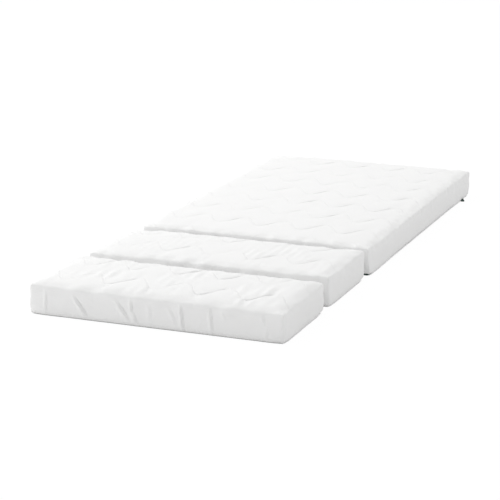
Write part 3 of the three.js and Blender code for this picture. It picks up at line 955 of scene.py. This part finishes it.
# The cushions swell under a light pressure, and no further than the caps
def settle(pieces):
    scene = bpy.context.scene
    rests = {}
    for piece in pieces:
        rests[piece.name] = pointsOf(piece.data)
        cloth = piece.modifiers.new("cloth", "CLOTH")
        for title, value in coverCloth.items():
            setattr(cloth.settings, title, value)
        cloth.settings.effector_weights.gravity = 0
        cloth.collision_settings.use_collision = False
        cloth.point_cache.frame_start, cloth.point_cache.frame_end = 1, quilting["frames"]
    for number in range(1, quilting["frames"] + 1):
        scene.frame_set(number)
    for piece in pieces:
        applyAll(piece)
        rest = rests[piece.name]
        moved = pointsOf(piece.data) - rest
        setPoints(piece.data, rest)
        normals = normalsOf(piece.data)
        out = (moved * normals).sum(1)
        relief = sections[piece.name.removesuffix("Cover")]["relief"]
        capOut, capIn = quilting["capOut"] * relief, quilting["capIn"] * relief
        outward, inward = capOut * np.tanh(out / mm / capOut), capIn * np.tanh(out / mm / capIn)
        capped = np.where(out > 0, outward, inward) * mm
        along = moved - out[:, None] * normals
        size = np.linalg.norm(along, axis=1, keepdims=True)
        capAlong = quilting["capAlong"]
        along *= np.tanh(size / (capAlong * mm)) * capAlong * mm / np.maximum(size, 1e-9)
        print(piece.name, "moved out by up to", round(out.max() / mm, 1), "mm, mean",
              round(out.mean() / mm, 2), "lowest", round(out.min() / mm, 1))
        setPoints(piece.data, rest + capped[:, None] * normals + along)
    scene.frame_set(1)


# The small unevenness of a cover, in mm
uneven = {
    "edgeIn": 34,  # how far in and down the soft lumps over the top edge reach
    "edgeDown": 30,
    "edgeWave": 0.9,
    "edgeShift": 20,
    "edgeSize": 60,
    "edgeHeight": 1.5,
    "smallSize": 46,
    "smallHeight": 0.25,
    "broadSize": 120,
    "broadHeight": 0.5,
    "crumpleSize": 34,
    "crumpleStretch": 3.2,  # how much longer crumples are along the bed
    "crumplePatch": 210,
    "sideThread": 0.3,  # how much of the thread shows on the sides
    "threadStretch": 1.7,  # how much longer a row is than the bed across it
}


def finishSkin(name, piece):
    section = sections[name]
    box = boxOf(piece.data)
    shoulder = (planGaps(section, box).min(1) < 40) & (bed["edgeHeight"] - box[:, 2] < 40)
    markPoints(piece, "shoulder", shoulder & (cornerDistance(section, box) > 50))
    eased = piece.modifiers.new("eased", "SMOOTH")
    eased.factor, eased.iterations, eased.vertex_group = 0.5, 4, "shoulder"
    fine = piece.modifiers.new("fine", "SUBSURF")
    fine.levels = fine.render_levels = 1
    applyAll(piece)
    mesh = piece.data
    box = boxOf(mesh)
    side = sideOf(section, box)
    across, behind = layFlat(section, box, side)
    distance = sewnPlace(section, across, behind)[0]
    up = box[:, 2]
    down = bed["edgeHeight"] - up
    corner = cornerDistance(section, box)
    clear = smoothStep(12, 45, corner)
    edge = planGaps(section, box).min(1)
    low = np.where((side == 1) | (side == 2), quilting["frontShare"], quilting["sideShare"])
    share = np.where(side == 0, np.maximum(smoothStep(0, 40, edge), 0.35), low) * clear
    bite = biteAt(section, across, behind) * section["bite"]
    moved = -quilting["grooveDepth"] * np.exp(-np.abs(distance) / quilting["grooveWidth"]) * share * bite

    def rippled(which, size):
        return ripple(across, behind, section["seed"] + draws[which], size)

    # soft lumps where the quilting rolls over the top edge
    overEdge = np.exp(-((edge / uneven["edgeIn"]) ** 2)) * np.exp(-((down / uneven["edgeDown"]) ** 2)) * clear
    lumps = uneven["edgeWave"] * np.sin(4 * np.pi * (across + uneven["edgeShift"]) / quilting["pitch"])
    moved += overEdge * (lumps + uneven["edgeHeight"] * rippled("overEdge", uneven["edgeSize"]))
    moved += rippled("small", uneven["smallSize"]) * uneven["smallHeight"] * clear * section["relief"]
    moved += rippled("broad", uneven["broadSize"]) * uneven["broadHeight"] * clear * section["relief"]
    # crumples that run along the bed
    crumple = ripple(across, behind / uneven["crumpleStretch"], section["seed"] + draws["crumple"],
                     uneven["crumpleSize"], 12)
    patch = ripple(across, behind, section["seed"] + draws["patch"], uneven["crumplePatch"], 6)
    crumple = crumple * smoothStep(-0.9, 1.0, patch)
    moved += crumple * section["crumple"] * (side == 0) * smoothStep(6, 40, edge)
    for number in (1, 2, 3, 4):
        here = side == number
        along = box[:, 0] if number in (1, 2) else box[:, 1]
        fold = np.zeros(len(box))
        for crease in creasesOf(name, section, number):
            fold += creaseAt(along, up, crease)
        moved += np.where(here, fold, 0) * clear
    points = pointsOf(mesh) + (moved * mm)[:, None] * normalsOf(mesh)
    # sides that face a gap stay nearly flush, so that the sections can be pushed together
    for facing, place, way in ((name != "end", 0, -1), (name != "main", section["length"], 1)):
        over = np.maximum((points[:, 1] / mm - section["front"] - place) * way, 0) * facing
        points[:, 1] -= way * (over - quilting["flush"] * np.tanh(over / quilting["flush"])) * mm
    setPoints(mesh, points)
    # the way to the sewn rows and the cloth's own map, for the finish
    shown = smoothStep(5, 12, corner) * np.where(side == 0, 1, uneven["sideThread"])
    threadWay = across * mm * uneven["threadStretch"]
    for title, values in (("sewn", distance * mm), ("along", threadWay), ("shown", shown)):
        attribute = mesh.attributes.new(title, "FLOAT", "POINT")
        attribute.data.foreach_set("value", values.astype(np.float32))
    mapCloth(section, mesh, box)


# The cloth's own map: every face by the side it lies on, as on the cloth laid flat
def mapCloth(section, mesh, box):
    removeMaps(mesh)
    layer = mesh.uv_layers.new(name="cloth")
    corners = np.empty(len(mesh.loops), np.int32)
    mesh.loops.foreach_get("vertex_index", corners)
    counts = np.empty(len(mesh.polygons), np.int32)
    mesh.polygons.foreach_get("loop_total", counts)
    owner = np.repeat(np.arange(len(mesh.polygons)), counts)
    centre = np.zeros((len(mesh.polygons), 3))
    np.add.at(centre, owner, box[corners])
    centre /= counts[:, None]
    faceSide = sideOf(section, centre)[owner]
    across, behind = layFlat(section, box[corners], faceSide)
    layer.data.foreach_set("uv", (np.stack([across, behind], 1) * mm).astype(np.float32).ravel())


# Rings of the hem and of the inside, as inset and height in mm: where the side runs down to its hem, where it
# stops over the zip, and where it hides the zip as a flap. All of them then rise inside to the roof over the
# wadding.
hem = {
    "plain": [(3.6, 2.3), (7, 2.3), (11, 2.3)],
    "slot": [(3.6, 10.4), (6.5, 10.4), (11, 10.4)],
    "flap": [(3.6, 2.3), (3.6, 10.4), (11, 10.4)],
    "roof": [(11, 50), (12.5, 71), (32, 81.5), (96, 90.4)],
    "upright": 12.5,  # rings further in are scaled towards the middle instead
    "fold": (0.3, 0.2),  # how far in from the outside its first ring lies at least, and each one after it
    "foldEnd": 10.6,
}


# The hem goes in under the side, or over the zip, and then up inside to the roof over the wadding
def closeSkin(name, piece):
    section = sections[name]
    halfX, halfY = bed["width"] / 2, section["length"] / 2
    middle = np.array([section["aside"], section["front"] + halfY]) * mm
    radius = bed["innerRadius"]
    plain, slot, flap = [hem[kind] + hem["roof"] for kind in ("plain", "slot", "flap")]
    pick(piece)
    bpy.ops.object.mode_set(mode="EDIT")
    selectRim()
    bpy.ops.object.mode_set(mode="OBJECT")
    for level in range(len(plain)):
        before = len(piece.data.vertices)
        bpy.ops.object.mode_set(mode="EDIT")
        bpy.ops.mesh.extrude_region_move(TRANSFORM_OT_translate={"value": (0, 0, 0)})
        bpy.ops.object.mode_set(mode="OBJECT")
        box = boxOf(piece.data)[before:]
        isSlot = openSlot(section, box)
        isFlap = (halfX - box[:, 0] < 1) * (box[:, 1] < section["flap"]) * (1 - isSlot)
        isPlain = 1 - isSlot - isFlap
        inset, height = [
            plain[level][k] * isPlain + slot[level][k] * isSlot + flap[level][k] * isFlap for k in (0, 1)
        ]
        flat = box[:, :2] - np.array([0, halfY])
        inner = np.stack([np.clip(flat[:, 0], radius - halfX, halfX - radius),
                          np.clip(flat[:, 1], radius - halfY, halfY - radius)], 1)
        away = unit(flat - inner)
        outside = footInset(section, box, bed["hemHeight"]) * (1 - isSlot)
        folded = np.minimum(outside + hem["fold"][0] + hem["fold"][1] * level, hem["foldEnd"])
        inset = np.where(inset < 11, np.maximum(inset, folded), inset)
        placed = inner + away * (radius - np.minimum(inset, hem["upright"]))[:, None]
        placed *= 1 - np.maximum(inset - hem["upright"], 0)[:, None] / np.array([halfX, halfY])
        height = height + (lipAt(section, box) - height) * isSlot * (level == 0)
        points = pointsOf(piece.data)
        points[before:, :2] = placed * mm + middle
        points[before:, 2] = height * mm
        setPoints(piece.data, points)
    bpy.ops.object.mode_set(mode="EDIT")
    bpy.ops.mesh.edge_face_add()
    bpy.ops.object.mode_set(mode="OBJECT")


covers = {name: makeSkin(name) for name in sections}
print("cover skins made:", {name: len(piece.data.vertices) for name, piece in covers.items()})
settle(list(covers.values()))
for name, piece in covers.items():
    finishSkin(name, piece)
    closeSkin(name, piece)
    pick(piece)
    bpy.ops.object.shade_smooth()
    dress(piece, name + "_quilted_cover", "quilted_cloth", name + "_section")
    print("cover", name, len(piece.data.polygons), "faces")

# Foam core, lining and wadding, one inside the other under the cover

inside = {
    "wadding": {"slot": "wadding", "inset": 11.3, "top": 90.1, "wall": 4, "edge": 13, "step": 24},
    "lining": {"slot": "lining_cloth", "inset": 16.6, "top": 84.1, "wall": 1, "edge": 8, "step": 60},
    "foam_core": {"slot": "foam", "inset": 17.9, "top": 82.8, "wall": 0, "edge": 7, "step": 60},
}
insideLow = 3.3
# how much lower the top lies towards the edges and corners
topFall = {"edge": 9, "reach": 84, "corner": 3, "cornerReach": 50}
tapeRoom = {"depth": 1.3, "from": 19, "to": 27}  # the wadding draws in behind the zip tapes
rowPress = {"depth": 2.2, "reach": 14}  # how the sewn rows press the wadding down


def coarseLines(half, edge, step):
    near = [0, 0.25 * edge, 0.6 * edge, edge, 2 * edge, 3.4 * edge]
    room = half - near[-1]
    count = max(1, math.ceil(room / step))
    lines = [near[-1] + room * number / count for number in range(count + 1)]
    left = [place - half for place in near[:-1] + lines]
    return np.array(left + [-place for place in reversed(left[:-1])])


# One face closes the open foot
def closeFoot(piece):
    pick(piece)
    bpy.ops.object.mode_set(mode="EDIT")
    selectRim()
    bpy.ops.mesh.edge_face_add()
    bpy.ops.object.mode_set(mode="OBJECT")


def makeInside(name, part):
    section, shape = sections[name], inside[part]
    halfX, halfY = bed["width"] / 2 - shape["inset"], section["length"] / 2 - shape["inset"]
    edge, deep = shape["edge"], shape["top"] - insideLow
    columns, rows = coarseLines(halfX, edge, shape["step"]), coarseLines(halfY, edge, shape["step"])
    drops = [0, 0.25 * edge, 0.6 * edge, edge, 2 * edge, 0.5 * deep, deep - 22, deep - 14, deep - 1, deep]
    drops = np.array(drops)
    piece, column, row, ring = gridWithSkirt(name + "_" + part + "_soft", columns, rows, len(drops) - 1)
    sharp = np.stack([columns[column], rows[row], -drops[ring]], 1)
    inner = np.stack([np.clip(sharp[:, 0], edge - halfX, halfX - edge),
                      np.clip(sharp[:, 1], edge - halfY, halfY - edge),
                      np.minimum(sharp[:, 2], -edge)], 1)
    away = unit(sharp - inner)
    placed = inner + edge * away
    gapX, gapY = halfX - np.abs(sharp[:, 0]), halfY - np.abs(sharp[:, 1])
    fall = topFall["edge"] * (1 - smoothStep(0, topFall["reach"], np.minimum(gapX, gapY)))
    fall += topFall["corner"] * np.exp(-((np.hypot(gapX, gapY) / topFall["cornerReach"]) ** 2))
    placed[:, 2] -= fall * np.interp(placed[:, 2], [-60, -10], [0, 1])
    if part == "wadding":
        # the sewn rows press the wadding down, and it draws in behind the zip tapes
        distance = sewnPlace(section, sharp[:, 0], sharp[:, 1] + section["length"] / 2)[0]
        placed[:, 2] -= rowPress["depth"] * np.exp(-np.abs(distance) / rowPress["reach"]) * (away[:, 2] > 0.5)
        up = placed[:, 2] + shape["top"]
        inward = tapeRoom["depth"] * (1 - smoothStep(tapeRoom["from"], tapeRoom["to"], up))
        placed[:, :2] -= away[:, :2] * inward[:, None]
    centre = np.array([section["aside"], section["front"] + section["length"] / 2, shape["top"]])
    setPoints(piece.data, (placed + centre) * mm)
    if shape["wall"]:
        wall = piece.modifiers.new("wall", "SOLIDIFY")
        wall.thickness, wall.offset = shape["wall"] * mm, -1
        fine = piece.modifiers.new("fine", "SUBSURF")
        fine.levels = fine.render_levels = 1
        applyAll(piece)
    else:
        closeFoot(piece)
    pick(piece)
    bpy.ops.object.shade_smooth()
    dress(piece, name + "_" + part, shape["slot"], name + "_section")
    return piece


for name, section in sections.items():
    for part in inside:
        piece = makeInside(name, part)
print("foam, lining and wadding ready")

# Base cloths: each is cut to the foot of its cover, with a sewn hem all round and faint ripples

base = {
    "inset": 11.05,
    "corner": 5,
    "step": 16,
    "rises": [0, 0.7, 2.3, 3.0],  # heights of the rings of its edge
    "hem": 9,
    "hemDepth": 0.5,
    "rippleSize": 110,
    "rippleHeight": 0.35,
    "edgeTuck": 0.35,
}


def makeBase(name):
    section = sections[name]
    halfX, halfY = bed["width"] / 2 - base["inset"], section["length"] / 2 - base["inset"]
    columns, rows = [
        np.concatenate([
            [-half, 0.7 - half, 4 - half, 8 - half, 9 - half, 10 - half],
            np.linspace(16 - half, half - 16, round(2 * half / base["step"])),
            [half - 10, half - 9, half - 8, half - 4, half - 0.7, half],
        ])
        for half in (halfX, halfY)
    ]
    rises = np.array(base["rises"])
    piece, column, row, ring = gridWithSkirt(name + "_base_cloth_sewn", columns, rows, len(rises) - 1)
    x, y, up = columns[column], rows[row], rises[ring]
    gap = np.minimum(halfX - np.abs(x), halfY - np.abs(y))
    wave = ripple(x, y, section["seed"] + draws["base"], base["rippleSize"]) + 1.2
    wave = wave * base["rippleHeight"] * smoothStep(12, 60, gap)
    hem = base["hemDepth"] * np.exp(-(((gap - base["hem"]) / 0.8) ** 2))
    up = up + np.where(ring == 0, np.clip(wave, 0, 1.6) + hem + 0.3 * (gap < 0.5), 0)
    tucked = base["edgeTuck"] * ((ring == 0) | (ring == len(rises) - 1)) * (gap < 0.5)
    x = x - np.sign(x) * tucked * (halfX - np.abs(x) < 0.5)
    y = y - np.sign(y) * tucked * (halfY - np.abs(y) < 0.5)
    # its corners are cut round, like the foot of the cover
    cut = base["corner"]
    innerX, innerY = np.clip(x, cut - halfX, halfX - cut), np.clip(y, cut - halfY, halfY - cut)
    outX, outY = x - innerX, y - innerY
    share = np.maximum(np.abs(outX), np.abs(outY)) / np.maximum(np.hypot(outX, outY), 1e-9)
    x, y = innerX + outX * share, innerY + outY * share
    place = np.stack([x + section["aside"], y + section["front"] + section["length"] / 2, up], 1)
    setPoints(piece.data, place * mm)
    closeFoot(piece)
    bpy.ops.object.mode_set(mode="EDIT")
    bpy.ops.mesh.select_all(action="SELECT")
    bpy.ops.mesh.normals_make_consistent(inside=False)
    bpy.ops.object.mode_set(mode="OBJECT")
    bpy.ops.object.shade_smooth_by_angle(angle=math.radians(50))
    dress(piece, name + "_base_cloth", "base_cloth", name + "_section")


for name in sections:
    makeBase(name)
print("base cloths ready")

# Zips: two rows of nylon coil that mesh, sewn to woven tapes, with a slider, a pull and two stops

zipShape = {
    "pitch": 2.2,
    "chainInset": 10,
    "upperRow": 7.55,
    "lowerRow": 5.85,
    "wire": 0.3,
    "loop": 0.7,
    "loopStretch": 1.35,
    "lean": 0.3,
    "firstLoop": 0.6,
    "cordRadius": 0.42,
    "tapeEnd": 12,
    "tapeInset": 11.3,
    "tapeThickness": 0.9,
    "upperTape": (7.0, 20.0),
    "lowerTape": (3.3, 6.4),
    "binding": (0.3, 3.1),
    "bindingInset": 10.86,
    "bindingThickness": 0.24,
}


# The way of a zip at some inset, in metres: one leg, a quarter turn round the right corner, then the other
# leg. At a rear corner the legs change places.
def zipWay(name, inset, spare=0):
    section = sections[name]
    radius = bed["innerRadius"]
    before, after = (section["wrap"], zipAcross) if section["zipRear"] else (zipAcross, section["flap"])
    way = [(spare - before, inset)]
    for number in range(13):
        turn = math.pi / 2 * (number / 12 - 1)
        way.append(((radius - inset) * math.cos(turn) - radius, (radius - inset) * math.sin(turn) + radius))
    way.append((-inset, after - spare))
    cornerX = bed["width"] / 2 + section["aside"]
    cornerY = section["front"] + section["length"] * section["zipRear"]
    if section["zipRear"]:
        way = [(-y, x) for x, y in way]
    return [((cornerX + x) * mm, (cornerY + y) * mm) for x, y in way]


def guideAlong(name, way, up=0.0):
    data = bpy.data.curves.new(name, "CURVE")
    data.dimensions = "3D"
    line = data.splines.new("POLY")
    line.points.add(len(way) - 1)
    for point, (x, y) in zip(line.points, way):
        point.co = (x, y, up * mm, 1)
    data.twist_mode = "Z_UP"
    guide = bpy.data.objects.new(name, data)
    bpy.context.scene.collection.objects.link(guide)
    return guide


# A row of coil: one flat loop, repeated along the zip and laid on its way
def coilRow(name, way, up, start, count):
    unselect()
    bpy.ops.mesh.primitive_torus_add(major_segments=8, minor_segments=5, major_radius=zipShape["loop"] * mm,
                                     minor_radius=zipShape["wire"] * mm, rotation=(0, math.pi / 2, 0))
    loop = bpy.context.object
    loop.name = name
    pick(loop)
    bpy.ops.object.transform_apply(location=True, rotation=True, scale=True)
    points = pointsOf(loop.data)
    points[:, 2] *= zipShape["loopStretch"]
    sideways = np.abs(points[:, 1] / (zipShape["loop"] * mm)) ** 0.5
    points[:, 0] += zipShape["lean"] * mm * np.sign(points[:, 1]) * sideways
    points[:, 0] += start * mm
    setPoints(loop.data, points)
    repeat = loop.modifiers.new("repeat", "ARRAY")
    repeat.use_relative_offset = False
    repeat.use_constant_offset = True
    repeat.constant_offset_displace = (zipShape["pitch"] * mm, 0, 0)
    repeat.count = count
    guide = guideAlong(name + "Way", way, up)
    bend = loop.modifiers.new("bend", "CURVE")
    bend.object, bend.deform_axis = guide, "POS_X"
    applyAll(loop)
    bpy.data.objects.remove(guide)
    return loop


# The cord inside a row of coil, which the stitches hold
def coilCord(name, way, up):
    guide = guideAlong(name, way, up)
    guide.data.bevel_depth = zipShape["cordRadius"] * mm
    guide.data.bevel_resolution = 1
    guide.data.use_fill_caps = True
    pick(guide)
    bpy.ops.object.convert(target="MESH")
    return bpy.context.object


def makeCoil(name):
    way = zipWay(name, zipShape["chainInset"], zipShape["tapeEnd"])
    length = sum(math.dist(first, second) for first, second in zip(way, way[1:])) / mm
    pitch, start = zipShape["pitch"], zipShape["firstLoop"]
    count = int((length - 2 * zipShape["wire"]) / pitch)
    pieces = [
        coilRow(name + "_zip_coil", way, zipShape["upperRow"], start, count),
        coilRow(name + "CoilLow", way, zipShape["lowerRow"], start + pitch / 2, count - 1),
        coilCord(name + "CordHigh", way, zipShape["upperRow"]),
        coilCord(name + "CordLow", way, zipShape["lowerRow"]),
    ]
    unselect()
    for piece in pieces:
        piece.select_set(True)
    bpy.context.view_layer.objects.active = pieces[0]
    bpy.ops.object.join()
    bpy.ops.object.shade_smooth()
    dress(pieces[0], name + "_zip_teeth", "zip_chain", name + "_section")
    return pieces[0], length


# An upright ribbon along the way of a zip
def ribbon(title, name, inset, low, high):
    guide = guideAlong(title, zipWay(name, inset), low)
    pick(guide)
    bpy.ops.object.convert(target="MESH")
    bpy.ops.object.mode_set(mode="EDIT")
    bpy.ops.mesh.select_mode(type="EDGE")
    bpy.ops.mesh.select_all(action="SELECT")
    bpy.ops.mesh.subdivide(number_cuts=3)
    bpy.ops.mesh.select_all(action="SELECT")
    bpy.ops.mesh.extrude_region_move(TRANSFORM_OT_translate={"value": (0, 0, (high - low) * mm)})
    bpy.ops.object.mode_set(mode="OBJECT")
    return bpy.context.object


def addThickness(piece, thickness, rounding):
    thick = piece.modifiers.new("thick", "SOLIDIFY")
    thick.thickness, thick.offset = thickness * mm, 0
    soft = piece.modifiers.new("soft", "BEVEL")
    soft.width, soft.segments, soft.limit_method = rounding * mm, 2, "ANGLE"
    applyAll(piece)


# A woven tape. The lower one folds over the edge of the base cloth, under the chain.
def makeTape(name, ending, low, high):
    middle = zipShape["tapeInset"] + zipShape["tapeThickness"] / 2
    tape = ribbon(name + "_zip_" + ending + "_woven", name, middle, low, high)
    addThickness(tape, zipShape["tapeThickness"] - 0.1, 0.2)
    if ending == "lower_tape":
        binding = ribbon(name + "Binding", name, zipShape["bindingInset"], *zipShape["binding"])
        addThickness(binding, zipShape["bindingThickness"], 0.05)
        pick(tape)
        binding.select_set(True)
        bpy.ops.object.join()
    bpy.ops.object.shade_smooth_by_angle(angle=math.radians(40))
    dress(tape, name + "_zip_" + ending, "zip_tape", name + "_section")


# A finer copy of a packed metal piece: its edges rounded as cast, in the same place
def castCopy(node, name, body, width):
    unselect()
    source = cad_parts[node]
    piece = bpy.data.objects.new(name, source.data.copy())
    bpy.context.scene.collection.objects.link(piece)
    pick(piece)
    bpy.ops.object.mode_set(mode="EDIT")
    bpy.ops.mesh.select_all(action="SELECT")
    bpy.ops.mesh.remove_doubles(threshold=0.00001)
    bpy.ops.mesh.dissolve_limited(angle_limit=math.radians(2))
    bpy.ops.object.mode_set(mode="OBJECT")
    rounded = piece.modifiers.new("rounded", "BEVEL")
    rounded.width, rounded.segments, rounded.limit_method = width * mm, 3, "ANGLE"
    rounded.angle_limit = math.radians(32)
    applyAll(piece)
    removeMaps(piece.data)
    bpy.ops.object.shade_smooth_by_angle(angle=math.radians(40))
    dress(piece, node, "zip_metal", body)


for name in sections:
    coil, length = makeCoil(name)
    print(name, "coil", len(coil.data.polygons), "faces,", round(length), "mm")
    makeTape(name, "upper_tape", *zipShape["upperTape"])
    makeTape(name, "lower_tape", *zipShape["lowerTape"])
    for ending, body, width in (
        ("slider", "_zip_slider", 0.3),
        ("pull", "_zip_pull", 0.4),
        ("top_stop", "_section", 0.35),
        ("bottom_stop", "_section", 0.35),
    ):
        castCopy(f"{name}_zip_{ending}", f"{name}_zip_{ending}_cast", name + body, width)
print("zips ready")
